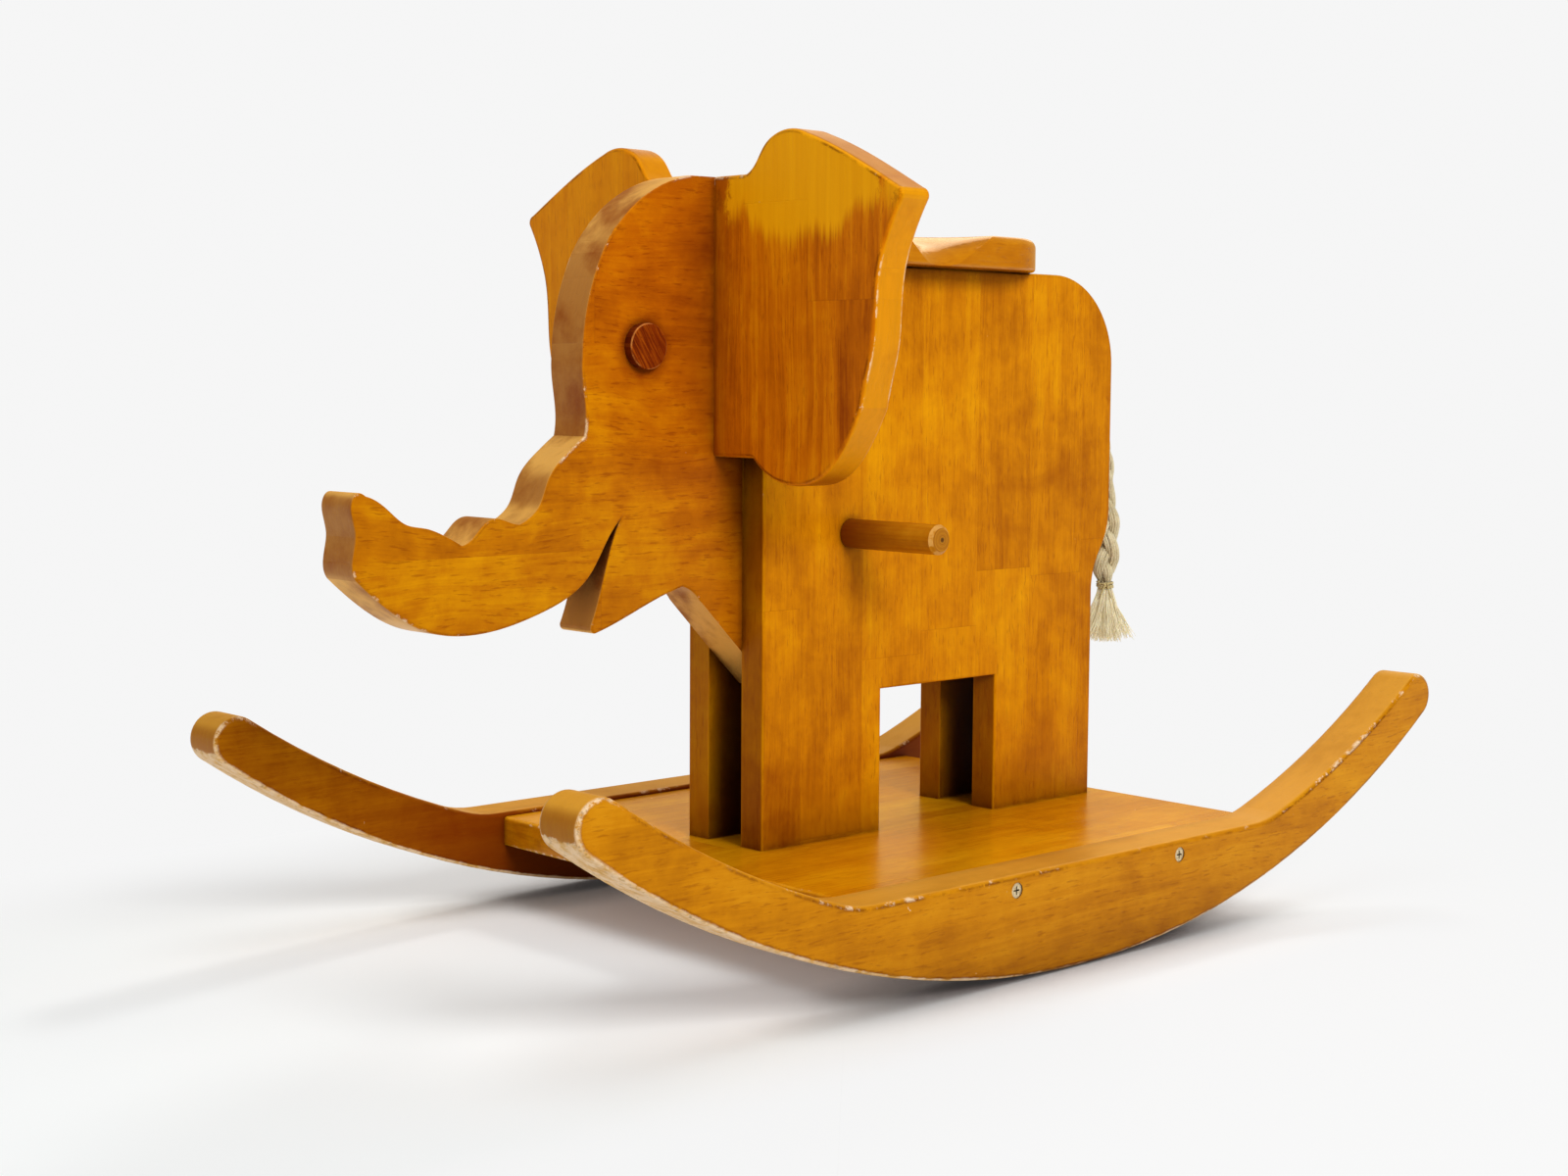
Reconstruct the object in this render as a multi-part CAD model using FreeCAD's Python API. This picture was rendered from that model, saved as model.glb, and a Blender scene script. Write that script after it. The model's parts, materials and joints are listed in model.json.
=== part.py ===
import FreeCAD, Part
import math
import os

V = FreeCAD.Vector

# Wooden rocking elephant, millimetres. +X is forward towards the trunk, +Z is up and the toy is
# mirrored across Y = 0. The origin is on the floor, at the centre of the bounding box.

# Rockers
ROCKER_MID_X = -6.5
ROCKER_INNER_Y = 156.0
ROCKER_T = 31.5
TREAD_R = 636.0
ARM_TOP_R = 625.0
ARM_TOP_CENTRE_Z = 659.7
ROCKER_FLAT_Z = 62.0
BEND_R = 80.0
TIP_Z = 127.0
ROCKER_EDGE_R = 3.0

# Deck
DECK_FRONT_X = 159.0
DECK_REAR_X = -213.0
DECK_T = 19.0
DECK_TOP_Z = 59.0

# Body panels
GAP_HALF = 15.0
PANEL_T = 19.0
PANEL_OUT_Y = GAP_HALF + PANEL_T
PANEL_FRONT_X = 107.0
PANEL_TOP_Z = 411.0
RUMP_X = -214.0
RUMP_R = 59.0
RUMP_LOW_Z = 253.5
HEEL_X = -196.5
HEEL_TOP_Z = 199.0
LEG_GAP_FRONT_X = 7.0
LEG_GAP_REAR_X = -99.0
LEG_GAP_TOP_Z = 148.5
PANEL_EDGE_R = 1.6

# Ears
EAR_T = 23.0
EAR_EDGE_R = 2.6
HEAD_EDGE_R = 1.2
EAR_FRONT_X = PANEL_FRONT_X + EAR_T

# Seat
SEAT_FRONT_X = 76.0
SEAT_REAR_X = -135.5
SEAT_HALF_W = 55.5
SEAT_T = 21.0
SEAT_CORNER_R = 44.0
SEAT_DIP_X = -20.0
SEAT_DIP_FRONT = 42.0
SEAT_DIP_REAR = 60.0
SEAT_DIP_MID = 0.5
SEAT_DIP_RIM = 17.0
SEAT_DIP_LEAD = 0.4
SEAT_EDGE_R = 6.0
SADDLE_STATIONS = (-57.5, -54.0, -50.5, -36.0, -18.0, 0.0, 18.0, 36.0, 50.5, 54.0, 57.5)

# Eye dowel and footrest pegs
EYE_X, EYE_Z, EYE_R, EYE_STANDOUT = 183.7, 358.8, 13.3, 6.0
FOOT_X, FOOT_Z, FOOT_R, FOOT_REACH = 35.0, 247.0, 9.0, 110.0
FOOT_CHAMFER = 2.0
FOOT_TENON_R = 7.5
FOOT_GAP = 0.5

# Hidden dowel pins
PIN_R = 4.0
PIN_CHAMFER = 1.0
PIN_PLAY = 0.05
EAR_PIN_Z = (320.0, 375.0)
SEAT_PIN_X = (46.0, -108.0)
NECK_PINS = ((70.0, 200.0), (70.0, 290.0), (70.0, 350.0))
SPACER_PINS = ((-182.0, 262.0), (-176.0, 365.0))

# Screws
SCREW_HEAD_R = 4.5
SCREW_SHANK_R = 2.2
SCREW_CONE = 3.0
SCREW_L = 50.0
SCREW_PLAY = 0.05
ROCKER_SCREW_X = (51.0, -98.5)
ROCKER_SCREW_Z = 53.0
LEG_SCREW_X = (84.0, 30.0, -122.0, -174.0)

# Tail
ROPE_HOLE_Z = 314.0
ROPE_R = 5.0
ROPE_PLAY = 0.08
ROPE_BEND_R = 30.0
SPACER_FRONT_X = -150.0
SPACER_REAR_X = -207.0
SPACER_LOW_Z = 232.0
SPACER_HIGH_Z = 398.0
TAIL_X = -252.0
LIFT_Z = 268.0
FLEX_Z = 232.0
TAIL_GAP = 0.6
BRAID_R = 7.5
BINDING_Z = 197.0
BINDING_H = 9.0
BINDING_R = 6.4
TASSEL_LOW_Z = 156.0
TASSEL_R = 16.0


def in_xz(y):
    return lambda a, b: V(a, y, b)


def in_yz(x):
    return lambda a, b: V(x, a, b)


def outline(place, start, moves):
    """Closed wire: a 2-value move is a straight run, ("arc", mid, end) an arc, ("curve", ...) a spline."""
    edges = []
    here = place(*start)
    for move in moves:
        if move[0] == "arc":
            there = place(*move[2])
            edges.append(Part.Arc(here, place(*move[1]), there).toShape())
        elif move[0] == "curve":
            through = [here] + [place(*p) for p in move[1:]]
            there = through[-1]
            spline = Part.BSplineCurve()
            spline.interpolate(through)
            edges.append(spline.toShape())
        else:
            there = place(*move)
            edges.append(Part.makeLine(here, there))
        here = there
    first = place(*start)
    if here.distanceToPoint(first) > 1e-6:
        edges.append(Part.makeLine(here, first))
    return Part.Wire(edges)


def plate(wire, thickness_vector):
    return Part.Face(wire).extrude(thickness_vector)


def mirror_y(shape):
    return shape.mirror(V(0, 0, 0), V(0, 1, 0))


def cylinder(radius, start, axis, length):
    return Part.makeCylinder(radius, length, start, axis)


def face_edges(shape, axis, value):
    """Edges lying wholly in the plane axis = value."""
    found = []
    for edge in shape.Edges:
        box = edge.BoundBox
        low = (box.XMin, box.YMin, box.ZMin)[axis]
        high = (box.XMax, box.YMax, box.ZMax)[axis]
        if abs(low - value) < 0.01 and abs(high - value) < 0.01:
            found.append(edge)
    return found


def round_edges(shape, radius, edges):
    return shape.makeFillet(radius, edges)


def cut_all(shape, tools):
    for tool in tools:
        shape = shape.cut(tool)
    return shape


def on_circle(centre, radius, towards):
    run = math.hypot(towards[0] - centre[0], towards[1] - centre[1])
    return (
        centre[0] + (towards[0] - centre[0]) * radius / run,
        centre[1] + (towards[1] - centre[1]) * radius / run,
    )


def pin(start, axis, length):
    """Chamfered dowel pin."""
    body = cylinder(PIN_R, start, axis, length)
    ends = [e for e in body.Edges if isinstance(e.Curve, Part.Circle)]
    return body.makeChamfer(PIN_CHAMFER, ends)


def pin_hole(start, axis, length):
    return cylinder(PIN_R + PIN_PLAY, start, axis, length)


def screw(tip_side, axis):
    """Countersunk wood screw: tip_side is the centre of the head's face, axis points into the wood."""
    cone = Part.makeCone(SCREW_HEAD_R, SCREW_SHANK_R, SCREW_CONE, tip_side, axis)
    shank = cylinder(SCREW_SHANK_R, tip_side + axis * SCREW_CONE, axis, SCREW_L - SCREW_CONE - 6)
    point = Part.makeCone(SCREW_SHANK_R, 0.4, 6, tip_side + axis * (SCREW_L - 6), axis)
    body = cone.fuse(shank).fuse(point)
    side = V(0, 0, 1) if abs(axis.z) < 0.5 else V(1, 0, 0)
    across = axis.cross(side)
    for along, wide in ((side, across), (across, side)):
        corner = tip_side - along * 2.4 - wide * 0.45 - axis * 0.5
        slot = Part.Face(Part.makePolygon([
            corner,
            corner + along * 4.8,
            corner + along * 4.8 + wide * 0.9,
            corner + wide * 0.9,
            corner,
        ])).extrude(axis * 2.3)
        body = body.cut(slot)
    return body.removeSplitter()


def screw_hole(tip_side, axis):
    """Clearance shape of one screw, a little past its tip."""
    grow = SCREW_PLAY
    mouth = cylinder(SCREW_HEAD_R + grow, tip_side - axis * 2, axis, 2)
    cone = Part.makeCone(SCREW_HEAD_R + grow, SCREW_SHANK_R + grow, SCREW_CONE, tip_side, axis)
    shank = cylinder(SCREW_SHANK_R + grow, tip_side + axis * SCREW_CONE, axis, SCREW_L - SCREW_CONE + 1)
    return mouth.fuse(cone).fuse(shank)


def rocker_screw_heads(side):
    face_y = side * (ROCKER_INNER_Y + ROCKER_T - 0.6)
    return [(V(x, face_y, ROCKER_SCREW_Z), V(0, -side, 0)) for x in ROCKER_SCREW_X]


def leg_screw_heads():
    mid_y = GAP_HALF + PANEL_T / 2
    face_z = DECK_TOP_Z - DECK_T + 0.5
    return [(V(x, y, face_z), V(0, 0, 1)) for x in LEG_SCREW_X for y in (mid_y, -mid_y)]


def rocker_outline():
    """Points of one rocker's profile, front half then its mirror image."""
    tread = (0.0, TREAD_R)
    arm = (0.0, ARM_TOP_CENTRE_Z)
    rise = ARM_TOP_CENTRE_Z - TREAD_R
    tip_r = (TREAD_R - ARM_TOP_R + rise * (ARM_TOP_CENTRE_Z + TREAD_R - 2 * TIP_Z) / (ARM_TOP_R + TREAD_R)) / 2
    tip = (math.sqrt((TREAD_R - tip_r) ** 2 - (TREAD_R - TIP_Z) ** 2), TIP_Z)
    low = on_circle(tread, TREAD_R, tip)
    high = on_circle(arm, ARM_TOP_R, tip)
    slope = math.atan2(tip[0], TREAD_R - TIP_Z)
    nose = (tip[0] + tip_r * math.cos(slope), tip[1] + tip_r * math.sin(slope))
    bend_z = ROCKER_FLAT_Z + BEND_R
    bend_x = math.sqrt((ARM_TOP_R - BEND_R) ** 2 - (ARM_TOP_CENTRE_Z - bend_z) ** 2)
    bend = (bend_x, bend_z)
    bend_high = on_circle(arm, ARM_TOP_R, bend)
    bend_low = (bend_x, ROCKER_FLAT_Z)
    bend_mid = on_circle(bend, BEND_R, ((bend_high[0] + bend_low[0]) / 2, (bend_high[1] + bend_low[1]) / 2))
    arm_mid = on_circle(arm, ARM_TOP_R, ((bend_high[0] + high[0]) / 2, (bend_high[1] + high[1]) / 2))

    def front(p):
        return (ROCKER_MID_X + p[0], p[1])

    def rear(p):
        return (ROCKER_MID_X - p[0], p[1])

    moves = [
        ("arc", front((0.0, 0.0)), front(low)),
        ("arc", front(nose), front(high)),
        ("arc", front(arm_mid), front(bend_high)),
        ("arc", front(bend_mid), front(bend_low)),
        rear(bend_low),
        ("arc", rear(bend_mid), rear(bend_high)),
        ("arc", rear(arm_mid), rear(high)),
        ("arc", rear(nose), rear(low)),
    ]
    return rear(low), moves


def rocker_left():
    start, moves = rocker_outline()
    body = plate(outline(in_xz(ROCKER_INNER_Y), start, moves), V(0, ROCKER_T, 0))
    edges = face_edges(body, 1, ROCKER_INNER_Y) + face_edges(body, 1, ROCKER_INNER_Y + ROCKER_T)
    body = round_edges(body, ROCKER_EDGE_R, edges)
    return cut_all(body, [screw_hole(p, a) for p, a in rocker_screw_heads(1)])


def base_board():
    length = DECK_FRONT_X - DECK_REAR_X
    corner = V(DECK_REAR_X, -ROCKER_INNER_Y, DECK_TOP_Z - DECK_T)
    body = Part.makeBox(length, 2 * ROCKER_INNER_Y, DECK_T, corner)
    edges = face_edges(body, 0, DECK_FRONT_X) + face_edges(body, 0, DECK_REAR_X)
    long_edges = [e for e in edges if e.BoundBox.YLength > 1]
    body = round_edges(body, 2.5, long_edges)
    holes = [screw_hole(p, a) for p, a in leg_screw_heads()]
    for side in (1, -1):
        holes += [screw_hole(p, a) for p, a in rocker_screw_heads(side)]
    return cut_all(body, holes)


def rump_curve_mid():
    return (RUMP_X + RUMP_R * (1 - math.cos(math.pi / 4)), PANEL_TOP_Z - RUMP_R * (1 - math.sin(math.pi / 4)))


def body_panel_left():
    half_in = (RUMP_X + HEEL_X) / 2
    half_z = (RUMP_LOW_Z + HEEL_TOP_Z) / 2
    turn = (half_in - RUMP_X) / 4
    moves = [
        (LEG_GAP_FRONT_X, DECK_TOP_Z),
        (LEG_GAP_FRONT_X, LEG_GAP_TOP_Z),
        (LEG_GAP_REAR_X, LEG_GAP_TOP_Z),
        (LEG_GAP_REAR_X, DECK_TOP_Z),
        (HEEL_X, DECK_TOP_Z),
        (HEEL_X, HEEL_TOP_Z),
        ("arc", (HEEL_X - turn, (HEEL_TOP_Z + half_z) / 2), (half_in, half_z)),
        ("arc", (RUMP_X + turn, (RUMP_LOW_Z + half_z) / 2), (RUMP_X, RUMP_LOW_Z)),
        (RUMP_X, PANEL_TOP_Z - RUMP_R),
        ("arc", rump_curve_mid(), (RUMP_X + RUMP_R, PANEL_TOP_Z)),
        (PANEL_FRONT_X, PANEL_TOP_Z),
    ]
    body = plate(outline(in_xz(GAP_HALF), (PANEL_FRONT_X, DECK_TOP_Z), moves), V(0, PANEL_T, 0))
    edges = [e for e in face_edges(body, 1, PANEL_OUT_Y) if e.BoundBox.ZMax > DECK_TOP_Z + 1]
    body = round_edges(body, PANEL_EDGE_R, edges)
    mid_y = GAP_HALF + PANEL_T / 2
    holes = [cylinder(FOOT_TENON_R + PIN_PLAY, V(FOOT_X, 0, FOOT_Z), V(0, 1, 0), 60)]
    holes += [pin_hole(V(PANEL_FRONT_X - 24, mid_y, z), V(1, 0, 0), 30) for z in EAR_PIN_Z]
    holes += [pin_hole(V(x, mid_y, PANEL_TOP_Z - 24), V(0, 0, 1), 30) for x in SEAT_PIN_X]
    holes += [pin_hole(V(x, 0, z), V(0, 1, 0), GAP_HALF + 11) for x, z in NECK_PINS + SPACER_PINS]
    holes += [screw_hole(p, a) for p, a in leg_screw_heads() if p.y > 0]
    return cut_all(body, holes)


def head_board():
    moves = [
        (149.0, 457.4),
        ("arc", (186.5, 440.8), (212.2, 411.0)),
        ("arc", (222.6, 383.0), (226.6, 353.0)),
        ("curve", (226.0, 337.0), (224.0, 320.0), (225.2, 308.0)),
        ("curve", (236.0, 299.8), (250.4, 284.7), (257.5, 269.0), (263.5, 263.6), (270.0, 260.4)),
        ("curve", (278.5, 262.4), (286.0, 264.1), (291.5, 262.6), (298.0, 257.0), (308.2, 250.3)),
        ("curve", (319.0, 256.0), (331.0, 260.4), (342.5, 262.6), (355.0, 271.5), (368.0, 278.6)),
        ("curve", (374.4, 279.6), (376.8, 275.5), (376.6, 268.0), (374.7, 257.2)),
        ("curve", (376.3, 247.5), (376.6, 239.5), (374.4, 234.4)),
        ("curve", (356.0, 219.0), (332.0, 205.5), (296.0, 201.6), (258.0, 209.6), (222.0, 229.0), (206.0, 253.0),
         (200.3, 259.6)),
        ("curve", (205.0, 249.0), (211.3, 229.5), (221.0, 200.6)),
        ("arc", (220.4, 197.5), (216.6, 196.7)),
        ("curve", (191.0, 206.0), (163.0, 216.6), (152.5, 219.4)),
        ("arc", (146.5, 216.6), (140.5, 211.0)),
        (107.0, 177.5),
        (82.0, 153.5),
        (57.0, 153.5),
        (57.0, PANEL_TOP_Z - 1),
        (77.5, PANEL_TOP_Z - 1),
        ("arc", (88.0, 438.0), (104.0, 457.9)),
    ]
    body = plate(outline(in_xz(-GAP_HALF), (104.0, 457.9), [(107.0, 458.0)] + moves), V(0, 2 * GAP_HALF, 0))
    rim = face_edges(body, 1, -GAP_HALF) + face_edges(body, 1, GAP_HALF)
    edges = [e for e in rim if e.BoundBox.XMin > PANEL_FRONT_X + 24]
    body = round_edges(body, HEAD_EDGE_R, edges)
    holes = [cylinder(EYE_R + PIN_PLAY, V(EYE_X, -40, EYE_Z), V(0, 1, 0), 80)]
    holes += [pin_hole(V(x, -40, z), V(0, 1, 0), 80) for x, z in NECK_PINS]
    return cut_all(body, holes)


def ear_left():
    tab_low = 295.0
    moves = [
        (41.0, 457.8),
        ("curve", (49.0, 463.6), (57.0, 473.8), (67.5, 479.6), (78.4, 481.0), (90.0, 478.4)),
        ("curve", (120.0, 466.4), (151.6, 450.6), (163.4, 444.4)),
        ("arc", (166.8, 441.4), (166.2, 437.0)),
        ("curve", (156.0, 418.0), (150.3, 401.5), (147.6, 377.0), (146.0, 359.0), (141.3, 341.0), (137.4, 325.0)),
        ("curve", (121.8, 299.6), (105.5, 285.0), (80.0, 280.3), (60.0, 286.0), (48.6, tab_low)),
        (GAP_HALF, tab_low),
    ]
    start = (GAP_HALF, 458.0)
    body = plate(outline(in_yz(PANEL_FRONT_X), start, moves), V(EAR_T, 0, 0))
    rim = face_edges(body, 0, PANEL_FRONT_X) + face_edges(body, 0, EAR_FRONT_X)
    edges = [e for e in rim if e.BoundBox.YMax > GAP_HALF + 0.1]
    body = round_edges(body, EAR_EDGE_R, edges)
    mid_y = GAP_HALF + PANEL_T / 2
    return cut_all(body, [pin_hole(V(PANEL_FRONT_X - 24, mid_y, z), V(1, 0, 0), 38) for z in EAR_PIN_Z])


def saddle_section(y):
    """Section of the waste above the seat: barely dipped on the centre line, deep where the thighs go."""
    top = PANEL_TOP_Z + SEAT_T + SEAT_DIP_LEAD
    depth = SEAT_DIP_LEAD + SEAT_DIP_MID + (SEAT_DIP_RIM - SEAT_DIP_MID) * (y / SEAT_HALF_W) ** 2
    past = max(0.0, abs(y) - SEAT_HALF_W + SEAT_EDGE_R)
    depth += past * past / SEAT_EDGE_R
    front = SEAT_DIP_X + SEAT_DIP_FRONT
    rear = SEAT_DIP_X - SEAT_DIP_REAR
    wave = []
    for n in range(1, 8):
        fall = (1 - math.cos(n * math.pi / 4)) / 2
        reach = SEAT_DIP_REAR if n < 4 else SEAT_DIP_FRONT
        wave.append((SEAT_DIP_X + reach * (n / 4 - 1), top - depth * fall))
    start = (rear, top)
    moves = [
        ("curve", *wave, (front, top)),
        (front, top + 10.0),
        (rear, top + 10.0),
    ]
    return outline(in_xz(y), start, moves)


def seat():
    r = SEAT_CORNER_R
    k = r * (1 - math.sqrt(0.5))
    w = SEAT_HALF_W
    f = SEAT_FRONT_X
    b = SEAT_REAR_X

    def place(x, y):
        return V(x, y, PANEL_TOP_Z)

    moves = [
        ("arc", (f - k, w - k), (f, w - r)),
        (f, r - w),
        ("arc", (f - k, k - w), (f - r, -w)),
        (b + r, -w),
        ("arc", (b + k, k - w), (b, r - w)),
        (b, w - r),
        ("arc", (b + k, w - k), (b + r, w)),
    ]
    slab = plate(outline(place, (f - r, w), moves), V(0, 0, SEAT_T))
    slab = round_edges(slab, SEAT_EDGE_R, face_edges(slab, 2, PANEL_TOP_Z + SEAT_T))
    slab = round_edges(slab, 2.0, face_edges(slab, 2, PANEL_TOP_Z))
    body = slab.cut(Part.makeLoft([saddle_section(y) for y in SADDLE_STATIONS], True, False))
    mid_y = GAP_HALF + PANEL_T / 2
    holes = []
    for x in SEAT_PIN_X:
        for y in (mid_y, -mid_y):
            holes.append(pin_hole(V(x, y, PANEL_TOP_Z - 1), V(0, 0, 1), 12))
    return cut_all(body, holes)


def eye_dowel():
    half = GAP_HALF + EYE_STANDOUT
    body = cylinder(EYE_R, V(EYE_X, -half, EYE_Z), V(0, 1, 0), 2 * half)
    return body.makeFillet(1.2, [e for e in body.Edges if isinstance(e.Curve, Part.Circle)])


def footrest_peg_left():
    """Peg for one foot: a tenon glued through the panel, and a shoulder just off the panel's face."""
    shoulder_y = PANEL_OUT_Y + FOOT_GAP
    grip = cylinder(FOOT_R, V(FOOT_X, shoulder_y, FOOT_Z), V(0, 1, 0), FOOT_REACH - shoulder_y)
    end = [e for e in face_edges(grip, 1, FOOT_REACH) if isinstance(e.Curve, Part.Circle)]
    grip = grip.makeChamfer(FOOT_CHAMFER, end)
    tenon = cylinder(FOOT_TENON_R, V(FOOT_X, GAP_HALF, FOOT_Z), V(0, 1, 0), shoulder_y - GAP_HALF + 1)
    return grip.fuse(tenon)


def rump_spacer():
    inset = RUMP_X - SPACER_REAR_X
    moves = [
        (SPACER_FRONT_X, SPACER_HIGH_Z),
        (SPACER_REAR_X + 40.0, SPACER_HIGH_Z),
        ("arc", (SPACER_REAR_X + 12.0, SPACER_HIGH_Z - 16.0), (SPACER_REAR_X, SPACER_HIGH_Z - 46.0)),
        (SPACER_REAR_X, SPACER_LOW_Z + 20.0),
        (SPACER_REAR_X - inset, SPACER_LOW_Z),
    ]
    start = (SPACER_FRONT_X, SPACER_LOW_Z)
    body = plate(outline(in_xz(-GAP_HALF), start, moves), V(0, 2 * GAP_HALF, 0))
    holes = [cylinder(ROPE_R + ROPE_PLAY, V(RUMP_X - 20, 0, ROPE_HOLE_Z), V(1, 0, 0), 120)]
    holes += [pin_hole(V(x, -40, z), V(0, 1, 0), 80) for x, z in SPACER_PINS]
    return cut_all(body, holes)


def ear_pins(side):
    mid_y = side * (GAP_HALF + PANEL_T / 2)
    return [pin(V(PANEL_FRONT_X - 23, mid_y, z), V(1, 0, 0), 36) for z in EAR_PIN_Z]


def seat_pins():
    mid_y = GAP_HALF + PANEL_T / 2
    found = []
    for x in SEAT_PIN_X:
        for y in (mid_y, -mid_y):
            found.append(pin(V(x, y, PANEL_TOP_Z - 23), V(0, 0, 1), 33))
    return found


def cross_pins(places):
    half = GAP_HALF + 10
    return [pin(V(x, -half, z), V(0, 1, 0), 2 * half) for x, z in places]


def tail_knot():
    """Overhand knot that stops the rope on the inner side of the spacer block."""
    centre = V(SPACER_FRONT_X + 11.5, 0, ROPE_HOLE_Z)
    return Part.makeSphere(11.0, centre)


def tail_stub():
    """Rope through the hole, turned down outside the rump."""
    start = SPACER_FRONT_X
    bend_x = TAIL_X + ROPE_BEND_R
    low = ROPE_HOLE_Z - ROPE_BEND_R
    straight = cylinder(ROPE_R, V(bend_x, 0, ROPE_HOLE_Z), V(1, 0, 0), start - bend_x)
    hoop = Part.makeTorus(ROPE_BEND_R, ROPE_R, V(bend_x, 0, low), V(0, 1, 0))
    corner = Part.makeBox(60, 40, 60, V(bend_x - 60, -20, low))
    bend = hoop.common(corner)
    end = LIFT_Z + BRAID_R + TAIL_GAP
    drop = cylinder(ROPE_R, V(TAIL_X, 0, end), V(0, 0, 1), low - end)
    return straight.fuse(bend).fuse(drop).removeSplitter()


def knuckle(radius, z):
    """Cylinder across the tail, centred on a hinge axis."""
    return cylinder(radius, V(TAIL_X, -BRAID_R - 1, z), V(0, 1, 0), 2 * BRAID_R + 2)


def braid_rod(low_z, hinge_z):
    """Upright rod whose upper end is rounded about the hinge axis at hinge_z."""
    rod = cylinder(BRAID_R, V(TAIL_X, 0, low_z), V(0, 0, 1), hinge_z - low_z)
    cap = cylinder(BRAID_R, V(TAIL_X, 0, hinge_z - 2), V(0, 0, 1), BRAID_R + 4)
    return rod.fuse(cap.common(knuckle(BRAID_R, hinge_z)))


def tail_braid_upper():
    return braid_rod(FLEX_Z, LIFT_Z).cut(knuckle(BRAID_R + TAIL_GAP, FLEX_Z)).removeSplitter()


def tail_braid_lower():
    low = BINDING_Z + BINDING_H / 2
    taper = Part.makeCone(BINDING_R - 0.6, BRAID_R, 4, V(TAIL_X, 0, low), V(0, 0, 1))
    return braid_rod(low + 4, FLEX_Z).fuse(taper).removeSplitter()


def tail_binding():
    body = cylinder(BINDING_R, V(TAIL_X, 0, BINDING_Z - BINDING_H / 2), V(0, 0, 1), BINDING_H)
    return body.makeFillet(1.5, [e for e in body.Edges if isinstance(e.Curve, Part.Circle)])


def tail_tassel():
    """Flared fringe below the binding."""
    top = BINDING_Z - BINDING_H / 2
    drop = top - TASSEL_LOW_Z
    skirt = Part.makeCone(TASSEL_R, BINDING_R - 1.4, drop, V(TAIL_X, 0, TASSEL_LOW_Z), V(0, 0, 1))
    rim = [e for e in skirt.Edges if isinstance(e.Curve, Part.Circle) and e.BoundBox.ZMin < top - 1]
    return skirt.makeFillet(3.0, rim)


def nodes():
    left_rocker = rocker_left()
    left_panel = body_panel_left()
    left_ear = ear_left()
    left_peg = footrest_peg_left()
    return {
        "rocker_left": left_rocker,
        "rocker_right": mirror_y(left_rocker),
        "base_board": base_board(),
        "body_panel_left": left_panel,
        "body_panel_right": mirror_y(left_panel),
        "head_board": head_board(),
        "rump_spacer": rump_spacer(),
        "ear_left": left_ear,
        "ear_right": mirror_y(left_ear),
        "eye_dowel": eye_dowel(),
        "seat": seat(),
        "footrest_peg_left": left_peg,
        "footrest_peg_right": mirror_y(left_peg),
        "rocker_screws_left": Part.makeCompound([screw(p, a) for p, a in rocker_screw_heads(1)]),
        "rocker_screws_right": Part.makeCompound([screw(p, a) for p, a in rocker_screw_heads(-1)]),
        "leg_screws": Part.makeCompound([screw(p, a) for p, a in leg_screw_heads()]),
        "ear_pins_left": Part.makeCompound(ear_pins(1)),
        "ear_pins_right": Part.makeCompound(ear_pins(-1)),
        "seat_pins": Part.makeCompound(seat_pins()),
        "neck_pins": Part.makeCompound(cross_pins(NECK_PINS)),
        "spacer_pins": Part.makeCompound(cross_pins(SPACER_PINS)),
        "tail_knot": tail_knot(),
        "tail_stub": tail_stub(),
        "tail_braid_upper": tail_braid_upper(),
        "tail_braid_lower": tail_braid_lower(),
        "tail_binding": tail_binding(),
        "tail_tassel": tail_tassel(),
    }


os.makedirs("parts", exist_ok=True)
for name, shape in nodes().items():
    shape.exportStep("parts/" + name + ".step")
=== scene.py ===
import json
import math
import random

import bpy
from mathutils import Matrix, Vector


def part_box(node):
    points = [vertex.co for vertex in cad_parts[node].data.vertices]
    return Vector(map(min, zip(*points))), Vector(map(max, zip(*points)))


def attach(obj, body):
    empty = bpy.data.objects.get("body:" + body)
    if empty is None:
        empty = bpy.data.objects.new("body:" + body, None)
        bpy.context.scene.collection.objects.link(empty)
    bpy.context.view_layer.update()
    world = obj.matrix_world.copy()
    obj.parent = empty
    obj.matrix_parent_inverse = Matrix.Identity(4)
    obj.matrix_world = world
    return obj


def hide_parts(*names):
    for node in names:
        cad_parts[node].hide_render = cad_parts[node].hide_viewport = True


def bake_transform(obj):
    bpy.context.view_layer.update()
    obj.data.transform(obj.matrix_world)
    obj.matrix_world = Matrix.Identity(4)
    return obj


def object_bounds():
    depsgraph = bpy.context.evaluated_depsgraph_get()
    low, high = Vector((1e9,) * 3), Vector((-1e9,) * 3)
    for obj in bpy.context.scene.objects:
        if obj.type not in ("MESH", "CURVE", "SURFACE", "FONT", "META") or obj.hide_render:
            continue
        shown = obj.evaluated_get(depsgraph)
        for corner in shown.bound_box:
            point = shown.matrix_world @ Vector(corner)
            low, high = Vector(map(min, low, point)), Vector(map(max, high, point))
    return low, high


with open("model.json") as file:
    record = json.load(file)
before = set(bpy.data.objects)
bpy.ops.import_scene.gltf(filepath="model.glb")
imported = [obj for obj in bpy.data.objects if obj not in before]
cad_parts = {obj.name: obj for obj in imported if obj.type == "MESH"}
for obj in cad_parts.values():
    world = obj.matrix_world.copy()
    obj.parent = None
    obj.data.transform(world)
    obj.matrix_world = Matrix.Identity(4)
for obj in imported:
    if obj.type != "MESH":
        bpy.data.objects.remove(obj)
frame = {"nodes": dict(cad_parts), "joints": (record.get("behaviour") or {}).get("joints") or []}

CAD_LOW, CAD_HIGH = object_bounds()
MM = 0.001
X, Y, Z = 0, 1, 2

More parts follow.
